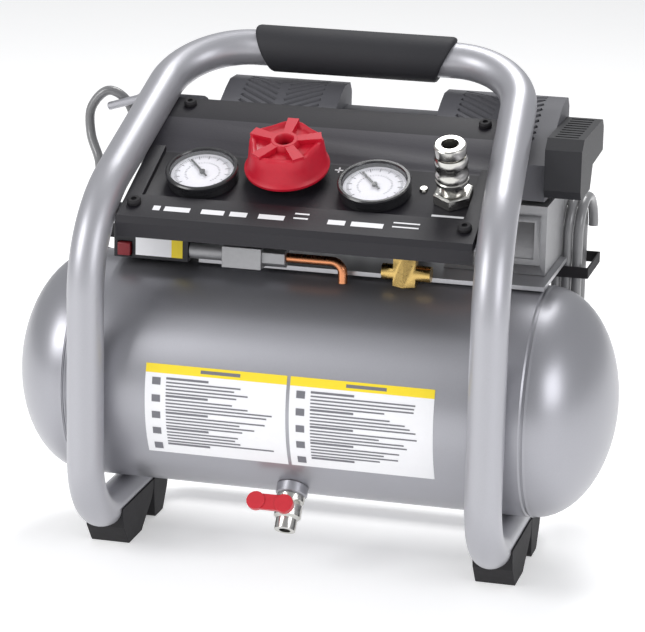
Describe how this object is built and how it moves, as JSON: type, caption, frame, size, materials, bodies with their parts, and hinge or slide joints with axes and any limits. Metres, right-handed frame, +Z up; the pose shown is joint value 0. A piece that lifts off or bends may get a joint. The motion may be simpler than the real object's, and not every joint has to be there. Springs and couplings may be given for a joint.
{
  "type": "portable air compressor",
  "caption": "Portable air compressor: horizontal tank in a bent tube frame with grip, control panel with gauges, red regulator knob and coupler, shrouded pump and coiled power cord.",
  "frame": {"origin": "centre of the object at floor level, under the feet", "axes": "+X along the tank to the right, +Y to the back, +Z up"},
  "size_m": [0.4238, 0.2457, 0.3553],
  "materials": {
    "silver": "satin",
    "steel": "satin",
    "nickel": "polished",
    "cast": "cast",
    "black_plastic": "matte",
    "grey_plastic": "matte",
    "rubber": "matte",
    "red_plastic": "satin",
    "dark_red": "matte",
    "dial": "printed",
    "brass": "satin",
    "copper": "satin copper",
    "cord": "satin",
    "glass": "clear"
  },
  "bodies": {
    "compressor": {"bridge_cover": "grey_plastic", "check_valve": "brass", "control_panel": "black_plastic", "cord_hank": "cord", "cord_hook": "silver", "cord_tie": "rubber", "coupler_body": "nickel", "delivery_pipe": "copper", "drain_boss": "steel", "drain_valve": "nickel", "fan_cover": "black_plastic", "foot_front_left": "rubber", "foot_front_right": "rubber", "foot_rear_left": "rubber", "foot_rear_right": "rubber", "frame_rear_tube": "silver", "frame_tube_left": "silver", "frame_tube_right": "silver", "gauge_case_left": "black_plastic", "gauge_case_right": "black_plastic", "gauge_dial_left": "dial", "gauge_dial_right": "dial", "gauge_lens_left": "glass", "gauge_lens_right": "glass", "handle_grip": "rubber", "intake_filter": "grey_plastic", "leg_weld_left": "silver", "leg_weld_right": "silver", "line_pipe": "copper", "line_valve": "nickel", "motor_housing": "black_plastic", "panel_bolt_back_left": "nickel", "panel_bolt_back_right": "nickel", "panel_bolt_front_left": "nickel", "panel_bolt_front_right": "nickel", "panel_screw": "nickel", "panel_tab_back_left": "silver", "panel_tab_back_right": "silver", "panel_tab_front_left": "silver", "panel_tab_front_right": "silver", "power_cord": "cord", "power_plug": "rubber", "pump_base_plate": "steel", "pump_casting": "cast", "regulator_bonnet": "nickel", "shroud_left": "grey_plastic", "shroud_right": "grey_plastic", "strain_relief": "rubber", "switch_box": "black_plastic", "tank_head_left": "steel", "tank_head_right": "steel", "tank_shell": "steel"},
    "drain_lever": {"drain_lever": "red_plastic"},
    "regulator_knob": {"regulator_knob": "red_plastic", "knob_screw": "rubber"},
    "coupler_sleeve": {"coupler_sleeve": "nickel"},
    "power_switch": {"power_switch": "dark_red"},
    "motor_fan": {"motor_fan": "grey_plastic"},
    "needle_left": {"gauge_needle_left": "red_plastic"},
    "needle_right": {"gauge_needle_right": "red_plastic"}
  },
  "joints": [
    {"name": "drain_turn", "type": "hinge", "parent": "compressor", "child": "drain_lever", "pos_m": [-0.003, -0.06994, 0.05205], "axis": [0, -0.788, 0.6157], "range_deg": [0, 90]},
    {"name": "regulator_turn", "type": "hinge", "parent": "compressor", "child": "regulator_knob", "pos_m": [-0.0195, -0.02026, 0.28026], "axis": [0, -0.4035, 0.915], "range_deg": [-360, 360]},
    {"name": "sleeve_pull", "type": "slide", "parent": "compressor", "child": "coupler_sleeve", "axis": [0, 0.4035, -0.915], "range_m": [0, 0.005], "stiffness_N_per_m": 600, "springref_m": -0.002},
    {"name": "switch_push", "type": "slide", "parent": "compressor", "child": "power_switch", "axis": [0, -1, 0], "range_m": [0, 0.003]},
    {"name": "motor_spin", "type": "hinge", "parent": "compressor", "child": "motor_fan", "pos_m": [0, 0.06, 0.252], "axis": [1, 0, 0], "continuous": true},
    {"name": "needle_left_turn", "type": "hinge", "parent": "compressor", "child": "needle_left", "pos_m": [-0.077, -0.02934, 0.2721], "axis": [0, 0.4035, -0.915], "range_deg": [0, 270], "stiffness_Nm_per_rad": 0.0004, "springref_deg": -11.46},
    {"name": "needle_right_turn", "type": "hinge", "parent": "compressor", "child": "needle_right", "pos_m": [0.0443, -0.0287, 0.27238], "axis": [0, 0.4035, -0.915], "range_deg": [0, 270], "stiffness_Nm_per_rad": 0.0004, "springref_deg": -11.46}
  ]
}
